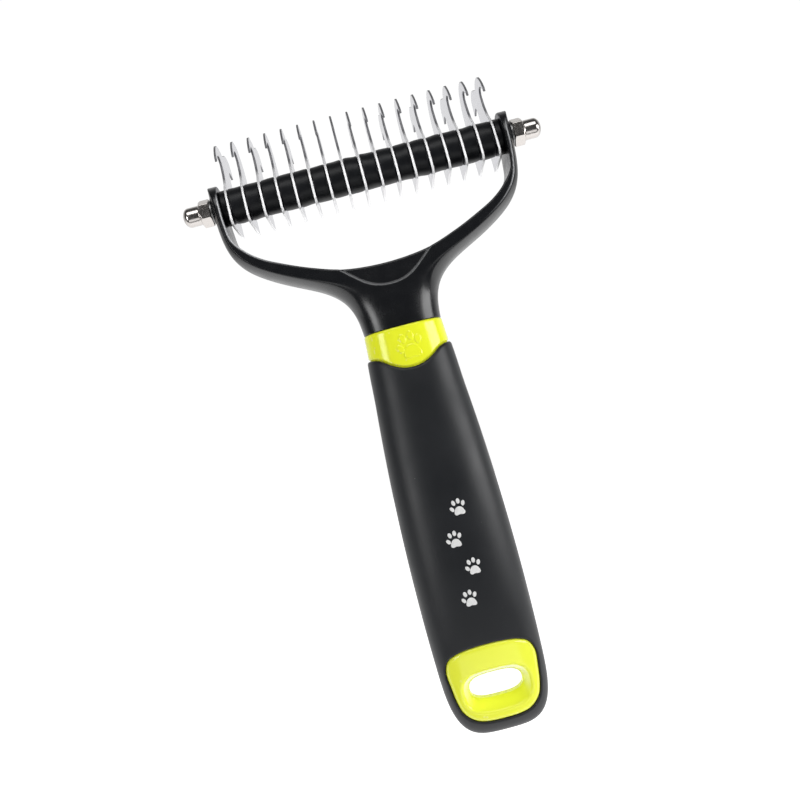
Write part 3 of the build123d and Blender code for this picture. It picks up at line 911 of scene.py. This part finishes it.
# ---------------------------------------------------------------------------------------
# Stage, light and camera
# ---------------------------------------------------------------------------------------
scene.view_settings.view_transform = "Standard"
scene.view_settings.look = "None"
ROOM_FRONT, ROOM_BACK = 0.07, 0.85  # brightness of the room before and behind the object
FLOOR_Z, FLOOR_FRONT, FLOOR_SIZE = -260, -120, 3000

world = bpy.data.worlds.new("studio")
scene.world = world
world.use_nodes = True
wn, wl = world.node_tree.nodes, world.node_tree.links
room = wn["Background"]
room.inputs["Strength"].default_value = 1.0
# the room is dim in front of the object and above it, and white behind and below it
aim = wn.new("ShaderNodeTexCoord")
axes = wn.new("ShaderNodeSeparateXYZ")
wl.new(aim.outputs["Generated"], axes.inputs["Vector"])
shade = wn.new("ShaderNodeMapRange")
shade.interpolation_type = "SMOOTHSTEP"
shade.inputs["From Min"].default_value, shade.inputs["From Max"].default_value = -0.2, 0.6
shade.inputs["To Min"].default_value = ROOM_FRONT
shade.inputs["To Max"].default_value = ROOM_BACK
tilt = arithmetic(wn, wl, "MULTIPLY_ADD", axes.outputs["Z"], -0.25, axes.outputs["Y"])
wl.new(tilt, shade.inputs["Value"])
wl.new(shade.outputs["Result"], room.inputs["Color"])
seen = wn.new("ShaderNodeBackground")
seen.inputs["Color"].default_value = (1, 1, 1, 1)
seen.inputs["Strength"].default_value = 1.02
path = wn.new("ShaderNodeLightPath")
mix = wn.new("ShaderNodeMixShader")
wl.new(path.outputs["Is Camera Ray"], mix.inputs["Fac"])
wl.new(room.outputs[0], mix.inputs[1])
wl.new(seen.outputs[0], mix.inputs[2])
wl.new(mix.outputs[0], wn["World Output"].inputs["Surface"])

corners = [(-FLOOR_SIZE, FLOOR_FRONT), (FLOOR_SIZE, FLOOR_FRONT)]
corners += [(FLOOR_SIZE, FLOOR_SIZE), (-FLOOR_SIZE, FLOOR_SIZE)]
floor = mesh_object("studio_floor", [(x, y, FLOOR_Z) for x, y in corners], [(0, 1, 2, 3)])
floor_mat, _, _, floor_shader = material("pale_floor", (0.8, 0.8, 0.8), 0.8)
floor_shader.inputs["Emission Color"].default_value = (1, 1, 1, 1)
floor_shader.inputs["Emission Strength"].default_value = 0.95
give(floor, floor_mat)


def softbox(name, place_mm, aim_mm, wide, power, tall):
    light = bpy.data.lights.new(name, "AREA")
    light.shape = "RECTANGLE"
    light.size, light.size_y = wide * MM, tall * MM
    light.energy = power
    obj = bpy.data.objects.new(name, light)
    obj.location = Vector(place_mm) * MM
    obj.rotation_mode = "QUATERNION"
    obj.rotation_quaternion = (Vector(aim_mm) - Vector(place_mm)).to_track_quat("-Z", "Y")
    scene.collection.objects.link(obj)


softbox("left_box", (-500, -480, 90), (0, 0, 90), 220, 1.5, tall=340)
softbox("right_box", (600, -340, 100), (0, 0, 90), 480, 3.2, tall=320)
softbox("top_box", (0, -480, 600), (0, 0, 100), 700, 2.1, tall=350)
softbox("low_box", (0, -430, -330), (0, 0, 90), 700, 0.8, tall=300)

# the photo's camera looks level from the front, rolled so that the tool leans to the left
CAMERA_MM, CAMERA_ROLL, CAMERA_LENS = (-6.0, -254.1, 85.2), math.radians(14.7), 39.825
camera = bpy.data.objects.new("camera", bpy.data.cameras.new("camera"))
scene.collection.objects.link(camera)
scene.camera = camera
camera.data.lens, camera.data.sensor_width = CAMERA_LENS, 36
camera.data.clip_start, camera.data.clip_end = 0.01, 20
roll = CAMERA_ROLL
right = Vector((math.cos(roll), 0, -math.sin(roll)))
up = Vector((math.sin(roll), 0, math.cos(roll)))
backward = Vector((0, -1, 0))
turn = Matrix((right, up, backward)).transposed()
camera.matrix_world = Matrix.Translation(Vector(CAMERA_MM) * MM) @ turn.to_4x4()
